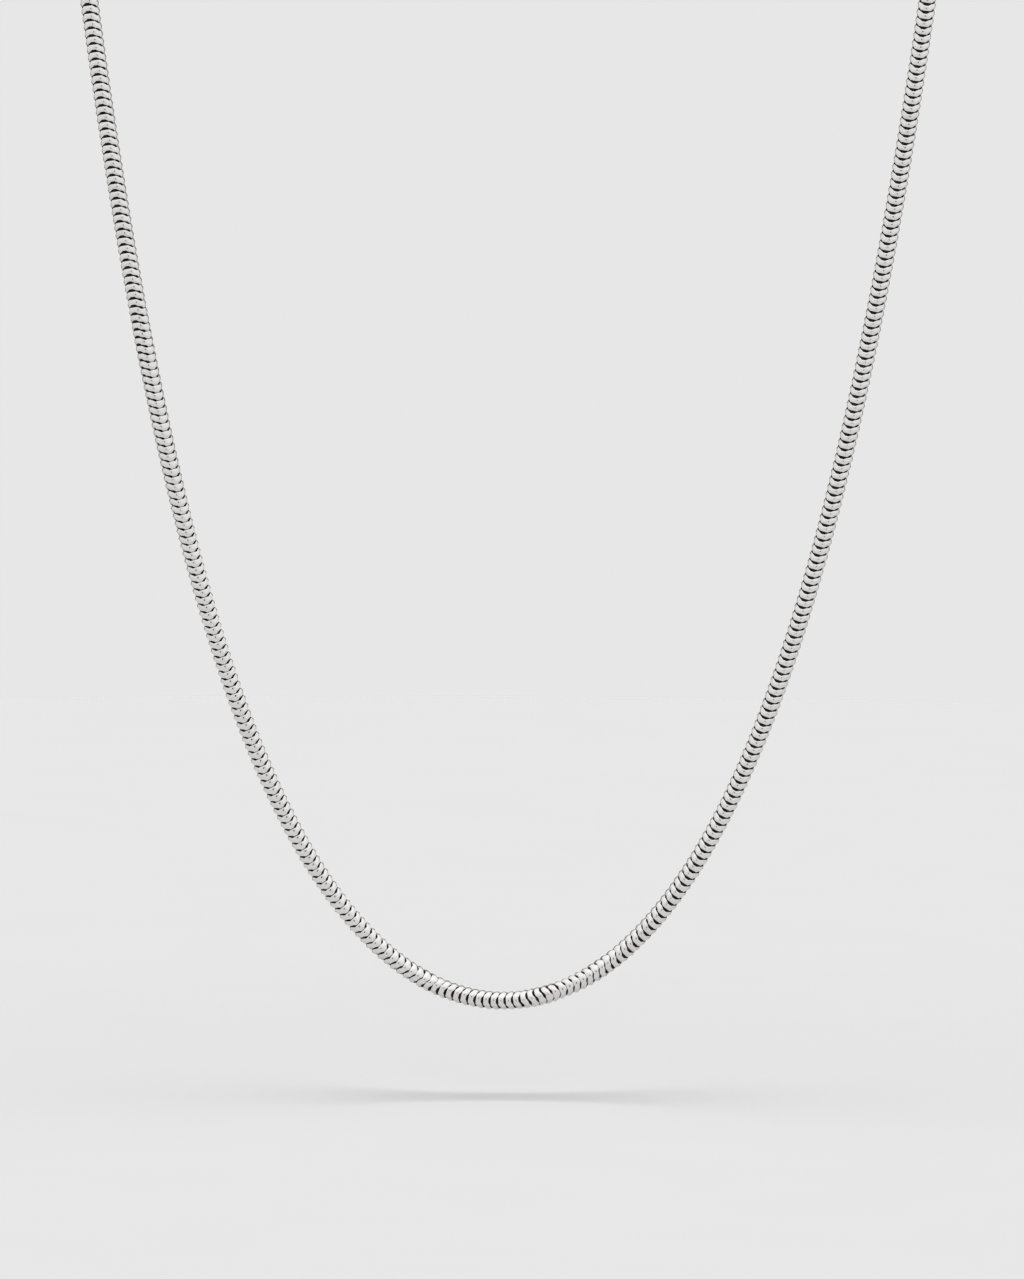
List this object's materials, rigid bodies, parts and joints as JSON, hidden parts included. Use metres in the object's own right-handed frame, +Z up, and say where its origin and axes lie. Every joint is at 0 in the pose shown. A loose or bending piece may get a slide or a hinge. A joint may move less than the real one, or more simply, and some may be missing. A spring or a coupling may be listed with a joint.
{
  "type": "snake chain necklace",
  "caption": "Polished silver round snake chain necklace: a closed loop of close-set, wavy-edged ring links, hung on a neck, with a plain barrel clasp at the nape.",
  "frame": {"origin": "inner side of the clasp at the nape, where the necklace rests on the back of the neck", "axes": "+Z up, +X towards the wearer's left, +Y towards the wearer's back; the front drop hangs in a plane square to Y"},
  "size_m": [0.1225, 0.0935, 0.1835],
  "materials": {
    "silver": "polished silver"
  },
  "bodies": {
    "root": {"chain": "silver", "clasp": "silver"}
  },
  "joints": []
}
